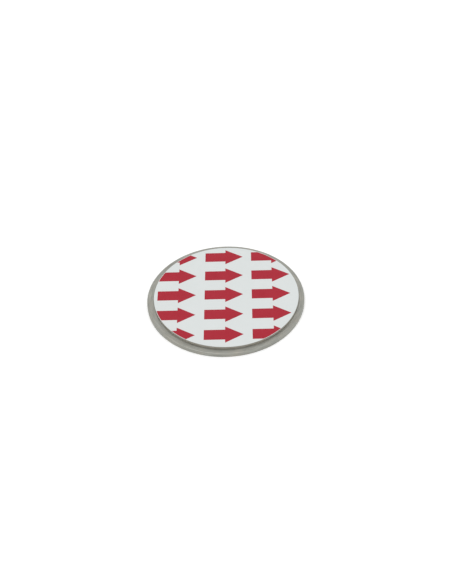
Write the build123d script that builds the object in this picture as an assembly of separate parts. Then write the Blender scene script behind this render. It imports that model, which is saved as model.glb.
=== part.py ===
from build123d import *

import math
import os

# A round steel plate that a magnet grips from below. A foam tape disc is bonded to
# its top, and a printed liner covers the tape's upper glue until the plate is used.
# Millimetres, +Z up, with the origin at the centre of the plate's underside.

# The steel plate
PLATE_DIAMETER = 70.0
PLATE_THICKNESS = 2.0
TOP_EDGE_ROUND = 0.5
BASE_EDGE_BREAK = 0.2

# The foam tape disc, stuck on by hand a little off the plate's centre
BARE_RIM = 2.8
PAD_THICKNESS = 1.0
PAD_SHIFT_X = 0.3
PAD_SHIFT_Y = 0.2

# The release liner, cut to the tape's outline in the same stroke
LINER_THICKNESS = 0.1

# The ink, level with the liner's face: block arrows in straight rows and columns, cut
# off by the edge. The blade chips it back, so a hair of bare liner runs round the print,
# and a remnant smaller than the smallest mark, in square millimetres, flakes away.
INK_DEPTH = 0.04
CHIPPED_EDGE = 0.15
ARROW_LENGTH = 17.2
HEAD_LENGTH = 8.0
HEAD_WIDTH = 9.8
SHAFT_WIDTH = 6.0
COLUMN_PITCH = 21.0
ROW_PITCH = 12.6
PRINT_TURN = -2.0
PRINT_SHIFT_X = -1.0
PRINT_SHIFT_Y = 0.5
SMALLEST_MARK = 1.0

# The widest edge treatment that a wall takes, as a share of its thickness
EDGE_SHARE = 0.45

plate_radius = PLATE_DIAMETER / 2
pad_radius = plate_radius - BARE_RIM
pad_centre = (PAD_SHIFT_X, PAD_SHIFT_Y)
pad_base = PLATE_THICKNESS
liner_base = pad_base + PAD_THICKNESS
liner_top = liner_base + LINER_THICKNESS


def plate_section():
    """Half of the plate's section: flat faces, a rounded upper and a broken lower edge."""
    upper = min(TOP_EDGE_ROUND, EDGE_SHARE * PLATE_THICKNESS)
    lower = min(BASE_EDGE_BREAK, EDGE_SHARE * PLATE_THICKNESS)
    base_rim = (plate_radius - lower, 0)
    side_foot = (plate_radius, lower)
    side_head = (plate_radius, PLATE_THICKNESS - upper)
    top_rim = (plate_radius - upper, PLATE_THICKNESS)
    with BuildSketch(Plane.XZ) as section:
        with BuildLine():
            Polyline((0, PLATE_THICKNESS), (0, 0), base_rim, side_foot, side_head)
            RadiusArc(side_head, top_rim, -upper)
            Line(top_rim, (0, PLATE_THICKNESS))
        make_face()
    return section.sketch


def steel_plate():
    """The solid disc, turned about its axis."""
    return revolve(plate_section(), Axis.Z)


def tape_layer(base, thickness):
    """A disc of the tape's outline, from a height upwards."""
    with BuildPart(Plane.XY.offset(base)) as layer:
        with Locations(pad_centre):
            Cylinder(pad_radius, thickness, align=(Align.CENTER, Align.CENTER, Align.MIN))
    return layer.part


def block_arrow():
    """One arrow that points along +X, centred on the origin."""
    tip = ARROW_LENGTH / 2
    neck = tip - HEAD_LENGTH
    shaft = SHAFT_WIDTH / 2
    head = HEAD_WIDTH / 2
    with BuildSketch() as arrow:
        with BuildLine():
            Polyline((tip, 0), (neck, head), (neck, shaft), (-tip, shaft), (-tip, 0))
            mirror(about=Plane.XZ)
        make_face()
    return arrow.sketch


def copies_across(pitch):
    """An odd count that covers the liner, so that one copy lies where the print starts."""
    return 2 * math.ceil(pad_radius / pitch) + 1


def liner_print():
    """The arrows that fall on the liner, each one a thin solid, cut off near its edge."""
    columns = copies_across(COLUMN_PITCH)
    rows = copies_across(ROW_PITCH)
    with BuildSketch() as marks:
        with Locations(Location((PRINT_SHIFT_X, PRINT_SHIFT_Y, 0), PRINT_TURN)):
            with GridLocations(COLUMN_PITCH, ROW_PITCH, columns, rows):
                add(block_arrow())
        Circle(pad_radius - CHIPPED_EDGE, mode=Mode.INTERSECT)
    on_liner = Pos(*pad_centre, liner_top)
    with BuildPart() as ink:
        for mark in marks.faces():
            if mark.area > SMALLEST_MARK:
                extrude(on_liner * mark, amount=INK_DEPTH, dir=(0, 0, -1))
    return ink.part


ink = liner_print()
release_liner = tape_layer(liner_base, LINER_THICKNESS) - ink

os.makedirs("parts", exist_ok=True)
export_step(steel_plate(), "parts/steel_plate.step")
export_step(tape_layer(pad_base, PAD_THICKNESS), "parts/adhesive_pad.step")
export_step(release_liner, "parts/release_liner.step")
export_step(ink, "parts/liner_print.step")
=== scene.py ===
"""Dresses the adhesive steel plate: turned metal, foam tape, and its printed liner."""

import math

import bmesh
import bpy
from bpy.props import FloatProperty, FloatVectorProperty, IntProperty, PointerProperty
from mathutils import Matrix, Vector, noise


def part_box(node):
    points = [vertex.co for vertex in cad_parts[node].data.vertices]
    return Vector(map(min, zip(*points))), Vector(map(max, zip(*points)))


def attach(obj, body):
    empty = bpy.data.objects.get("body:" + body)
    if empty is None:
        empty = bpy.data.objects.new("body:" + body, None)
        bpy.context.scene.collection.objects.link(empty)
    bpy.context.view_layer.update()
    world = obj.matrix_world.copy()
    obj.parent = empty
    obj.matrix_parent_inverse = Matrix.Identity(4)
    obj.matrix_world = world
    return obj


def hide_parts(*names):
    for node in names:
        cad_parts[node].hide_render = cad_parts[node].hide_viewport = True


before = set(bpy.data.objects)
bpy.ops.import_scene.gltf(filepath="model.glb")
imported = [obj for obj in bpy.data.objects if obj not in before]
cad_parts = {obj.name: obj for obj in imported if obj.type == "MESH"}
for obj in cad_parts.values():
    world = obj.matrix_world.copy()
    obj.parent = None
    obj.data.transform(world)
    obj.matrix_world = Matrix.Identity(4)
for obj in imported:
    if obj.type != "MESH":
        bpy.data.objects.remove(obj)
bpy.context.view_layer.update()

bl_info = {
    "name": "Adhesive Steel Plate",
    "version": (1, 0, 0),
    "blender": (4, 5, 0),
    "location": "3D View > Sidebar > Plate",
    "description": "Builds a steel plate with a foam tape disc and a printed liner",
    "category": "Mesh",
}

MM = 0.001
BODY = "root"
WHITE = (1, 1, 1, 1)

# Points closer together than this count as one height
NEAR = 0.01 * MM

# The values that one noise, and the sum of two, mostly lie between
ONE_NOISE = (0.2, 0.8)
TWO_NOISES = (0.6, 1.4)

# Facets of the plate's two edges, and the rings inside them that keep the flat faces shaded flat
TOP_FACETS = 8
BASE_FACETS = 3
INNER_RINGS = (0.03 * MM, 1 * MM)

# The steel's streaks: how much they change on the way round, and how far they move the tone
FINE_CHANGE = 4.0
BROAD_CHANGE = 5.0
FINE_TONES = (0.9, 1.1)
BROAD_TONES = (0.76, 1.24)

# The noise values at which the broad streaks reach their two tones
BROAD_SPREAD = (0.25, 0.75)

# Nearer the axis than this, the streaks don't close in any further
HUB_RADIUS = 0.1 * MM

# The rest of the steel's finish: its tint's patches, how far its roughness swings, its grooves
STEEL_PATCHES = (9 * MM, 2 * MM)
STEEL_CONTRAST = 0.04
ROUGHNESS_SWING = 0.08
GROOVE_BUMP = 0.5
GROOVE_DEPTH = 0.01 * MM

# The foam's finish, and the depth of the pits in its wall as a share of a cell
FOAM_PATCH = 2.5 * MM
FOAM_CONTRAST = 0.25
FOAM_ROUGHNESS = (0.75, 0.95)
FOAM_SPECULAR = 0.3
CELL_BUMP = 0.6
CELL_DEPTH = 0.05 * MM
PIT_SHARE = 0.1

# The finish of the paper and of the ink on it
PAPER_PATCHES = (5 * MM, 0.35 * MM)
PAPER_ROUGHNESS = (0.42, 0.54)
RIPPLE_BUMP = 0.15
RIPPLE_DEPTH = 0.03 * MM
PAPER_SPECULAR = 0.4
PAPER_CONTRAST = 0.012
INK_SPECULAR = 0.25
INK_CONTRAST = 0.08

# The stage: the gap that keeps the floor clear of the plate, and what the camera can see
FLOOR_DROP = 0.02 * MM
NEAREST_SEEN = 0.01
FARTHEST_SEEN = 20


def round_size(node):
    """The centre of a round node's underside, its width across and its height."""
    low, high = (Vector(corner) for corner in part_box(node))
    middle = (low + high) / 2
    size = high - low
    return Vector((middle.x, middle.y, low.z)), max(size.x, size.y), size.z


PLATE_BASE, PLATE_WIDTH, PLATE_HEIGHT = round_size("steel_plate")
TAPE_BASE, TAPE_WIDTH, TAPE_HEIGHT = round_size("adhesive_pad")


class PlateSettings(bpy.types.PropertyGroup):
    """Sizes and colours of the steel plate."""

    diameter: FloatProperty(
        name="Diameter",
        description="Width of the plate",
        default=PLATE_WIDTH,
        unit="LENGTH",
    )
    thickness: FloatProperty(
        name="Thickness",
        description="Thickness of the steel",
        default=PLATE_HEIGHT,
        unit="LENGTH",
    )
    top_round: FloatProperty(
        name="Top round",
        description="Radius of the upper edge",
        default=0.5 * MM,
        unit="LENGTH",
    )
    base_break: FloatProperty(
        name="Base break",
        description="Width of the broken lower edge",
        default=0.2 * MM,
        unit="LENGTH",
    )
    segments: IntProperty(
        name="Segments",
        description="Facets round the rim",
        default=288,
    )
    fine_streak: FloatProperty(
        name="Fine streak",
        description="Width of the finest streaks left by the turning",
        default=0.1 * MM,
        unit="LENGTH",
    )
    broad_streak: FloatProperty(
        name="Broad streak",
        description="Width of the broader bands that the streaks lie in",
        default=0.5 * MM,
        unit="LENGTH",
    )
    colour: FloatVectorProperty(
        name="Steel colour",
        description="Colour of the satin metal",
        default=(0.324, 0.334, 0.31),
        subtype="COLOR",
        min=0,
        max=1,
    )
    tint: FloatVectorProperty(
        name="Plating tint",
        description="Warmer colour that the plating drifts to in places",
        default=(0.347, 0.334, 0.292),
        subtype="COLOR",
        min=0,
        max=1,
    )
    roughness: FloatProperty(
        name="Roughness",
        description="Roughness of the satin metal",
        default=0.5,
        subtype="FACTOR",
    )


class TapeSettings(bpy.types.PropertyGroup):
    """Sizes and colours of the foam tape disc."""

    diameter: FloatProperty(
        name="Diameter",
        description="Width of the foam disc",
        default=TAPE_WIDTH,
        unit="LENGTH",
    )
    thickness: FloatProperty(
        name="Thickness",
        description="Thickness of the foam",
        default=TAPE_HEIGHT,
        unit="LENGTH",
    )
    waist: FloatProperty(
        name="Waist",
        description="How far the cut wall draws in at mid height",
        default=0.06 * MM,
        unit="LENGTH",
    )
    cell: FloatProperty(
        name="Cell size",
        description="Width of the foam's cells",
        default=0.22 * MM,
        unit="LENGTH",
    )
    segments: IntProperty(
        name="Segments",
        description="Facets round the cut wall",
        default=720,
    )
    rows: IntProperty(
        name="Rows",
        description="Rows of faces up the cut wall",
        default=10,
    )
    colour: FloatVectorProperty(
        name="Foam colour",
        description="Colour of the foam",
        default=(0.4, 0.377, 0.324),
        subtype="COLOR",
        min=0,
        max=1,
    )
    shade: FloatVectorProperty(
        name="Foam shade",
        description="Darker colour that the foam drifts to in places",
        default=(0.34, 0.32, 0.272),
        subtype="COLOR",
        min=0,
        max=1,
    )


class LinerSettings(bpy.types.PropertyGroup):
    """Colours of the release liner and its ink."""

    paper: FloatVectorProperty(
        name="Paper colour",
        description="Colour of the coated paper",
        default=(0.729, 0.76, 0.757),
        subtype="COLOR",
        min=0,
        max=1,
    )
    paper_shade: FloatVectorProperty(
        name="Paper shade",
        description="Colour that the paper drifts to in places",
        default=(0.703, 0.739, 0.73),
        subtype="COLOR",
        min=0,
        max=1,
    )
    ink: FloatVectorProperty(
        name="Ink colour",
        description="Colour of the printed arrows",
        default=(0.419, 0.012, 0.0305),
        subtype="COLOR",
        min=0,
        max=1,
    )
    ink_shade: FloatVectorProperty(
        name="Ink shade",
        description="Colour of the ink where it lies thicker",
        default=(0.376, 0.0095, 0.0245),
        subtype="COLOR",
        min=0,
        max=1,
    )


class StageSettings(bpy.types.PropertyGroup):
    """The floor, the lights and the camera."""

    distance: FloatProperty(
        name="Distance",
        description="From the camera to the centre of the plate's underside",
        default=0.514,
        unit="LENGTH",
    )
    elevation: FloatProperty(
        name="Elevation",
        description="How far the camera looks down",
        default=math.radians(43.3),
        subtype="ANGLE",
    )
    roll: FloatProperty(
        name="Roll",
        description="How far the camera leans to the right",
        default=math.radians(2.74),
        subtype="ANGLE",
    )
    lens: FloatProperty(
        name="Lens",
        description="Focal length in millimetres",
        default=70.93,
    )
    shift_x: FloatProperty(
        name="Shift X",
        description="Sideways shift of the view",
        default=0.0004,
    )
    shift_y: FloatProperty(
        name="Shift Y",
        description="Upward shift of the view",
        default=0.01467,
    )
    floor_size: FloatProperty(
        name="Floor size",
        description="Width of the floor",
        default=6.0,
        unit="LENGTH",
    )
    floor_colour: FloatVectorProperty(
        name="Floor colour",
        description="Colour of the floor",
        default=(0.9, 0.9, 0.9),
        subtype="COLOR",
        min=0,
        max=1,
    )
    floor_glow: FloatProperty(
        name="Floor glow",
        description="Light that the camera sees added to the floor",
        default=0.25,
    )
    ambient: FloatProperty(
        name="Ambient",
        description="Strength of the even light from all round",
        default=0.8,
    )
    lamp_size: FloatProperty(
        name="Lamp size",
        description="Width of each soft round lamp",
        default=0.5,
        unit="LENGTH",
    )
    overhead_place: FloatVectorProperty(
        name="Overhead lamp place",
        description="Where the lamp above the plate hangs",
        default=(-0.25, -0.24, 0.84),
        subtype="TRANSLATION",
    )
    overhead_power: FloatProperty(
        name="Overhead lamp",
        description="Power of the lamp above the plate, in watts",
        default=1.6,
    )
    back_place: FloatVectorProperty(
        name="Back lamp place",
        description="Where the lamp behind the plate hangs",
        default=(0, 0.62, 0.6),
        subtype="TRANSLATION",
    )
    back_power: FloatProperty(
        name="Back lamp",
        description="Power of the lamp behind the plate, in watts",
        default=0.1,
    )
    side_place: FloatVectorProperty(
        name="Side lamp place",
        description="Where the lamp on the right hangs",
        default=(0.8, 0.05, 0.45),
        subtype="TRANSLATION",
    )
    side_power: FloatProperty(
        name="Side lamp",
        description="Power of the lamp on the right, in watts",
        default=0.3,
    )


def feed(tree, node, values):
    """Gives a node's inputs, by name or number, a socket to read or a constant."""
    for key, value in values.items():
        if isinstance(value, bpy.types.NodeSocket):
            tree.links.new(value, node.inputs[key])
        else:
            node.inputs[key].default_value = value


def new_material(name):
    """A material, its node tree and its shader."""
    material = bpy.data.materials.new(name)
    material.use_nodes = True
    tree = material.node_tree
    return material, tree, tree.nodes["Principled BSDF"]


def object_coordinates(tree):
    """A point's place in the object's own coordinates."""
    return tree.nodes.new("ShaderNodeTexCoord").outputs["Object"]


def new_group(name, inputs, outputs):
    """An empty node group with named value, vector and colour sockets."""
    kinds = {
        "VALUE": "NodeSocketFloat",
        "VECTOR": "NodeSocketVector",
        "COLOUR": "NodeSocketColor",
    }
    group = bpy.data.node_groups.new(name, "ShaderNodeTree")
    for label, kind, default in inputs:
        socket = group.interface.new_socket(
            name=label, in_out="INPUT", socket_type=kinds[kind]
        )
        if default is not None:
            socket.default_value = default
    for label, kind in outputs:
        group.interface.new_socket(
            name=label, in_out="OUTPUT", socket_type=kinds[kind]
        )
    return group, group.nodes.new("NodeGroupInput"), group.nodes.new("NodeGroupOutput")


def math_node(tree, operation, *values):
    """A Math node whose inputs are sockets or numbers."""
    node = tree.nodes.new("ShaderNodeMath")
    node.operation = operation
    feed(tree, node, dict(enumerate(values)))
    return node.outputs[0]


def noise_node(tree, vector, scale, detail=2.0):
    """A Noise Texture read at a vector, whose scale is a socket or a number."""
    node = tree.nodes.new("ShaderNodeTexNoise")
    feed(tree, node, {"Vector": vector, "Scale": scale, "Detail": detail})
    return node.outputs["Fac"]


def range_node(tree, value, bounds, spread=(0.0, 1.0)):
    """Maps a value from its spread onto two bounds, each a socket or a number."""
    node = tree.nodes.new("ShaderNodeMapRange")
    names = ("From Min", "From Max", "To Min", "To Max")
    feed(tree, node, {"Value": value, **dict(zip(names, (*spread, *bounds)))})
    return node.outputs["Result"]


def bump_node(tree, height, strength, distance):
    """A Bump node fed by a height, whose normal goes to the shader."""
    node = tree.nodes.new("ShaderNodeBump")
    feed(tree, node, {"Height": height, "Strength": strength, "Distance": distance})
    return node.outputs["Normal"]


def scaled(tree, colour, level):
    """A colour times a level, both sockets."""
    node = tree.nodes.new("ShaderNodeVectorMath")
    node.operation = "SCALE"
    feed(tree, node, {0: colour, "Scale": level})
    return node.outputs["Vector"]


def blended(tree, share, first, second):
    """One colour mixed into another by a share, all sockets."""
    node = tree.nodes.new("ShaderNodeMix")
    node.data_type = "RGBA"
    feed(tree, node, {"Factor": share})
    colours_in = [socket for socket in node.inputs if socket.type == "RGBA"]
    for colour, socket in zip((first, second), colours_in):
        tree.links.new(colour, socket)
    return next(socket for socket in node.outputs if socket.type == "RGBA")


def turned_grain_group():
    """Fine streaks that run round the Z axis, on flat faces and up a rim alike."""
    group, given, put_out = new_group(
        "Turned grain",
        [
            ("Vector", "VECTOR", None),
            ("Width", "VALUE", 0.15 * MM),
            ("Change round", "VALUE", 6.0),
        ],
        [("Grain", "VALUE")],
    )
    split = group.nodes.new("ShaderNodeSeparateXYZ")
    feed(group, split, {"Vector": given.outputs["Vector"]})
    x, y, z = split.outputs
    across = math_node(group, "MULTIPLY", x, x)
    along = math_node(group, "MULTIPLY", y, y)
    radius = math_node(group, "SQRT", math_node(group, "ADD", across, along))
    safe_radius = math_node(group, "MAXIMUM", radius, HUB_RADIUS)
    change = given.outputs["Change round"]
    east = math_node(group, "MULTIPLY", math_node(group, "DIVIDE", x, safe_radius), change)
    north = math_node(group, "MULTIPLY", math_node(group, "DIVIDE", y, safe_radius), change)
    depth = math_node(group, "SUBTRACT", radius, z)
    rings = math_node(group, "DIVIDE", depth, given.outputs["Width"])
    place = group.nodes.new("ShaderNodeCombineXYZ")
    feed(group, place, {"X": east, "Y": north, "Z": rings})
    grain = noise_node(group, place.outputs["Vector"], scale=1.0, detail=3.0)
    feed(group, put_out, {"Grain": grain})
    return group


def mottle_group():
    """A colour that drifts to another over the surface, in broad and fine patches."""
    group, given, put_out = new_group(
        "Mottle",
        [
            ("Vector", "VECTOR", None),
            ("First colour", "COLOUR", WHITE),
            ("Second colour", "COLOUR", (0.9, 0.9, 0.9, 1)),
            ("Broad size", "VALUE", 4 * MM),
            ("Fine size", "VALUE", 0.4 * MM),
            ("Contrast", "VALUE", 0.1),
        ],
        [("Colour", "COLOUR"), ("Mask", "VALUE")],
    )
    vector = given.outputs["Vector"]
    broad_scale = math_node(group, "DIVIDE", 1.0, given.outputs["Broad size"])
    fine_scale = math_node(group, "DIVIDE", 1.0, given.outputs["Fine size"])
    broad = noise_node(group, vector, broad_scale)
    fine = noise_node(group, vector, fine_scale)
    both = math_node(group, "ADD", broad, fine)
    mask = range_node(group, both, (0.0, 1.0), TWO_NOISES)
    first = given.outputs["First colour"]
    second = given.outputs["Second colour"]
    drift = blended(group, mask, first, second)
    contrast = given.outputs["Contrast"]
    darker = math_node(group, "SUBTRACT", 1.0, contrast)
    lighter = math_node(group, "ADD", 1.0, contrast)
    level = range_node(group, fine, (darker, lighter), ONE_NOISE)
    feed(group, put_out, {"Colour": scaled(group, drift, level), "Mask": mask})
    return group


def shared_group(name, maker):
    """The node group of that name, made the first time it is asked for."""
    return bpy.data.node_groups.get(name) or maker()


def place_group(tree, group, values):
    """Puts a node group in a material, with its own values."""
    node = tree.nodes.new("ShaderNodeGroup")
    node.node_tree = group
    feed(tree, node, values)
    return node


def streaks(tree, place, width, change):
    """The turned grain at one width, which changes more or less on the way round."""
    grain = shared_group("Turned grain", turned_grain_group)
    values = {"Vector": place, "Width": width, "Change round": change}
    return place_group(tree, grain, values).outputs["Grain"]


def mottled(tree, place, colours, sizes, contrast):
    """The mottle's colour and mask, between two colours, at a broad and a fine size."""
    values = {
        "Vector": place,
        "First colour": (*colours[0], 1.0),
        "Second colour": (*colours[1], 1.0),
        "Broad size": sizes[0],
        "Fine size": sizes[1],
        "Contrast": contrast,
    }
    node = place_group(tree, shared_group("Mottle", mottle_group), values)
    return node.outputs["Colour"], node.outputs["Mask"]


def satin_steel(settings):
    """Satin plated steel, with streaks that run round and a tint that drifts a little."""
    material, tree, shader = new_material("satin_steel")
    place = object_coordinates(tree)
    fine = streaks(tree, place, settings.fine_streak, FINE_CHANGE)
    broad = streaks(tree, place, settings.broad_streak, BROAD_CHANGE)
    colours = (settings.colour, settings.tint)
    tone, _ = mottled(tree, place, colours, STEEL_PATCHES, STEEL_CONTRAST)
    fine_level = range_node(tree, fine, FINE_TONES)
    broad_level = range_node(tree, broad, BROAD_TONES, BROAD_SPREAD)
    level = math_node(tree, "MULTIPLY", fine_level, broad_level)
    both = math_node(tree, "ADD", fine, broad)
    smoothest = settings.roughness - ROUGHNESS_SWING
    roughest = settings.roughness + ROUGHNESS_SWING
    finish = {
        "Base Color": scaled(tree, tone, level),
        "Metallic": 1.0,
        "Roughness": range_node(tree, both, (smoothest, roughest), TWO_NOISES),
        "Normal": bump_node(tree, fine, GROOVE_BUMP, GROOVE_DEPTH),
    }
    feed(tree, shader, finish)
    return material


def cut_foam(settings):
    """Closed cell foam, with its cut cells as fine pits."""
    material, tree, shader = new_material("cut_foam")
    place = object_coordinates(tree)
    colours = (settings.colour, settings.shade)
    sizes = (FOAM_PATCH, settings.cell)
    tone, mask = mottled(tree, place, colours, sizes, FOAM_CONTRAST)
    cells = tree.nodes.new("ShaderNodeTexVoronoi")
    feed(tree, cells, {"Vector": place, "Scale": 1 / settings.cell})
    finish = {
        "Base Color": tone,
        "Roughness": range_node(tree, mask, FOAM_ROUGHNESS),
        "Specular IOR Level": FOAM_SPECULAR,
        "Normal": bump_node(tree, cells.outputs["Distance"], CELL_BUMP, CELL_DEPTH),
    }
    feed(tree, shader, finish)
    return material


def coated_paper(name, colours, specular, contrast):
    """Smooth coated paper or the ink on it, with a faint fibre mottle and ripple."""
    material, tree, shader = new_material(name)
    place = object_coordinates(tree)
    tone, mask = mottled(tree, place, colours, PAPER_PATCHES, contrast)
    finish = {
        "Base Color": tone,
        "Roughness": range_node(tree, mask, PAPER_ROUGHNESS),
        "Specular IOR Level": specular,
        "Normal": bump_node(tree, mask, RIPPLE_BUMP, RIPPLE_DEPTH),
    }
    feed(tree, shader, finish)
    return material


def mesh_object(name, builder, material):
    """Turns a bmesh into an object with one material."""
    mesh = bpy.data.meshes.new(name)
    builder.to_mesh(mesh)
    builder.free()
    mesh.materials.append(material)
    finished = bpy.data.objects.new(name, mesh)
    bpy.context.collection.objects.link(finished)
    return finished


def smooth_piece(name, builder, material):
    """A piece with smooth faces that point outwards, which rides the root body."""
    bmesh.ops.recalc_face_normals(builder, faces=builder.faces)
    for face in builder.faces:
        face.smooth = True
    piece = mesh_object(name, builder, material)
    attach(piece, BODY)
    return piece


def dress_node(node, material):
    """Gives a CAD node a better material in each of its slots."""
    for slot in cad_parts[node].material_slots:
        slot.material = material


def plain_disc(settings):
    """A disc of one diameter and thickness, with its underside on the origin."""
    builder = bmesh.new()
    bmesh.ops.create_cone(
        builder,
        cap_ends=True,
        segments=settings.segments,
        radius1=settings.diameter / 2,
        radius2=settings.diameter / 2,
        depth=settings.thickness,
        matrix=Matrix.Translation((0, 0, settings.thickness / 2)),
    )
    return builder


def edges_at(builder, height):
    """The edges that lie level at a height."""
    return [
        edge
        for edge in builder.edges
        if all(abs(vert.co.z - height) < NEAR for vert in edge.verts)
    ]


def turned_disc(settings):
    """A disc with a rounded upper edge, a broken lower edge and rings inside each."""
    builder = plain_disc(settings)
    edges = (
        (settings.thickness, settings.top_round, TOP_FACETS),
        (0, settings.base_break, BASE_FACETS),
    )
    for height, width, facets in edges:
        bmesh.ops.bevel(
            builder,
            geom=edges_at(builder, height),
            offset=width,
            offset_type="OFFSET",
            segments=facets,
            profile=0.5,
            affect="EDGES",
            material=-1,
        )
    for width in INNER_RINGS:
        caps = [face for face in builder.faces if len(face.verts) == settings.segments]
        bmesh.ops.inset_region(builder, faces=caps, thickness=width)
    bmesh.ops.translate(builder, verts=builder.verts, vec=PLATE_BASE)
    return builder


class PLATE_OT_turn_plate(bpy.types.Operator):
    """Turn the steel plate"""

    bl_idname = "plate.turn_plate"
    bl_label = "Turn plate"

    def execute(self, context):
        settings = context.scene.plate_settings
        steel = satin_steel(settings)
        disc = smooth_piece("turned_plate", turned_disc(settings), steel)
        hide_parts("steel_plate")
        return {"FINISHED"}


def foam_disc(settings):
    """A disc whose cut wall draws in at mid height and is pitted by open cells."""
    builder = plain_disc(settings)
    level = {*edges_at(builder, 0), *edges_at(builder, settings.thickness)}
    upright = [edge for edge in builder.edges if edge not in level]
    bmesh.ops.subdivide_edges(
        builder, edges=upright, cuts=settings.rows - 1, use_grid_fill=True
    )
    for vert in builder.verts:
        draw_in = settings.waist * math.sin(math.pi * vert.co.z / settings.thickness)
        if NEAR < vert.co.z < settings.thickness - NEAR:
            pit = noise.noise(vert.co / settings.cell) + 1
            draw_in += PIT_SHARE * settings.cell * pit
        vert.co.xy *= 1 - draw_in / (settings.diameter / 2)
    bmesh.ops.translate(builder, verts=builder.verts, vec=TAPE_BASE)
    return builder


class PLATE_OT_cut_tape(bpy.types.Operator):
    """Cut the foam tape disc and lay it on the plate"""

    bl_idname = "plate.cut_tape"
    bl_label = "Cut tape"

    def execute(self, context):
        settings = context.scene.tape_settings
        disc = smooth_piece("foam_tape", foam_disc(settings), cut_foam(settings))
        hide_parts("adhesive_pad")
        return {"FINISHED"}


class PLATE_OT_print_liner(bpy.types.Operator):
    """Finish the release liner and its printed arrows"""

    bl_idname = "plate.print_liner"
    bl_label = "Print liner"

    def execute(self, context):
        settings = context.scene.liner_settings
        paper_tones = (settings.paper, settings.paper_shade)
        ink_tones = (settings.ink, settings.ink_shade)
        paper = coated_paper("coated_paper", paper_tones, PAPER_SPECULAR, PAPER_CONTRAST)
        ink = coated_paper("red_ink", ink_tones, INK_SPECULAR, INK_CONTRAST)
        dress_node("release_liner", paper)
        dress_node("liner_print", ink)
        return {"FINISHED"}


def seen_rays(tree):
    """1 for the rays of the camera, of metal and of glass, and 0 for all others."""
    path = tree.nodes.new("ShaderNodeLightPath").outputs
    seen = math_node(tree, "MAXIMUM", path["Is Camera Ray"], path["Is Glossy Ray"])
    return math_node(tree, "MAXIMUM", seen, path["Is Transmission Ray"])


def floor_material(settings):
    """A plain pale floor, which the camera sees a little brighter, as white."""
    material, tree, shader = new_material("white_floor")
    finish = {
        "Base Color": (*settings.floor_colour, 1.0),
        "Roughness": 1.0,
        "Specular IOR Level": 0.0,
        "Emission Color": WHITE,
        "Emission Strength": math_node(
            tree, "MULTIPLY", seen_rays(tree), settings.floor_glow
        ),
    }
    feed(tree, shader, finish)
    return material


def lay_floor(settings):
    """A plain floor just under the plate."""
    builder = bmesh.new()
    bmesh.ops.create_grid(
        builder,
        x_segments=1,
        y_segments=1,
        size=settings.floor_size / 2,
        matrix=Matrix.Translation((0, 0, -FLOOR_DROP)),
    )
    floor = mesh_object("floor", builder, floor_material(settings))


def light_world(settings):
    """Even light all round, which the camera, metal and glass see as plain white."""
    world = bpy.data.worlds.new("studio")
    bpy.context.scene.world = world
    world.use_nodes = True
    tree = world.node_tree
    strength = range_node(tree, seen_rays(tree), (settings.ambient, 1.0))
    feed(tree, tree.nodes["Background"], {"Color": WHITE, "Strength": strength})


def hang_lamp(name, place, power, size):
    """A soft round lamp that faces the plate."""
    data = bpy.data.lights.new(name, "AREA")
    data.shape = "DISK"
    data.size = size
    data.energy = power
    lamp = bpy.data.objects.new(name, data)
    lamp.location = place
    lamp.rotation_euler = (-lamp.location).to_track_quat("-Z", "Y").to_euler()
    bpy.context.collection.objects.link(lamp)


def set_camera(settings):
    """The camera, which looks down along +Y and leans a little to the right."""
    data = bpy.data.cameras.new("camera")
    data.lens = settings.lens
    data.shift_x = settings.shift_x
    data.shift_y = settings.shift_y
    data.clip_start = NEAREST_SEEN
    data.clip_end = FARTHEST_SEEN
    camera = bpy.data.objects.new("camera", data)
    back = Vector((0, -math.cos(settings.elevation), math.sin(settings.elevation)))
    level = (-back).to_track_quat("-Z", "Y").to_matrix().to_4x4()
    lean = Matrix.Rotation(-settings.roll, 4, "Z")
    camera.matrix_world = Matrix.Translation(back * settings.distance) @ level @ lean
    bpy.context.collection.objects.link(camera)
    bpy.context.scene.camera = camera


class PLATE_OT_set_stage(bpy.types.Operator):
    """Lay the floor, light it and set the camera"""

    bl_idname = "plate.set_stage"
    bl_label = "Set stage"

    def execute(self, context):
        settings = context.scene.stage_settings
        set_camera(settings)
        lay_floor(settings)
        light_world(settings)
        lamps = (
            ("overhead_lamp", settings.overhead_place, settings.overhead_power),
            ("back_lamp", settings.back_place, settings.back_power),
            ("side_lamp", settings.side_place, settings.side_power),
        )
        for name, place, power in lamps:
            hang_lamp(name, place, power, settings.lamp_size)
        context.scene.view_settings.view_transform = "Standard"
        return {"FINISHED"}


class PLATE_PT_panel(bpy.types.Panel):
    """The plate's operators in the sidebar"""

    bl_idname = "PLATE_PT_panel"
    bl_label = "Adhesive plate"
    bl_space_type = "VIEW_3D"
    bl_region_type = "UI"
    bl_category = "Plate"

    def draw(self, context):
        for operator in OPERATORS:
            self.layout.operator(operator.bl_idname)


SETTINGS = {
    "plate_settings": PlateSettings,
    "tape_settings": TapeSettings,
    "liner_settings": LinerSettings,
    "stage_settings": StageSettings,
}
OPERATORS = (
    PLATE_OT_set_stage,
    PLATE_OT_turn_plate,
    PLATE_OT_cut_tape,
    PLATE_OT_print_liner,
)


def register():
    """Registers the settings, the operators and the panel."""
    for name, settings in SETTINGS.items():
        bpy.utils.register_class(settings)
        setattr(bpy.types.Scene, name, PointerProperty(type=settings))
    for operator in OPERATORS:
        bpy.utils.register_class(operator)
    bpy.utils.register_class(PLATE_PT_panel)


def unregister():
    """Takes them all away again."""
    bpy.utils.unregister_class(PLATE_PT_panel)
    for operator in reversed(OPERATORS):
        bpy.utils.unregister_class(operator)
    for name, settings in SETTINGS.items():
        delattr(bpy.types.Scene, name)
        bpy.utils.unregister_class(settings)


def main():
    """Builds the dressed plate."""
    register()
    bpy.ops.plate.set_stage()
    bpy.ops.plate.turn_plate()
    bpy.ops.plate.cut_tape()
    bpy.ops.plate.print_liner()


if __name__ == "__main__":
    main()
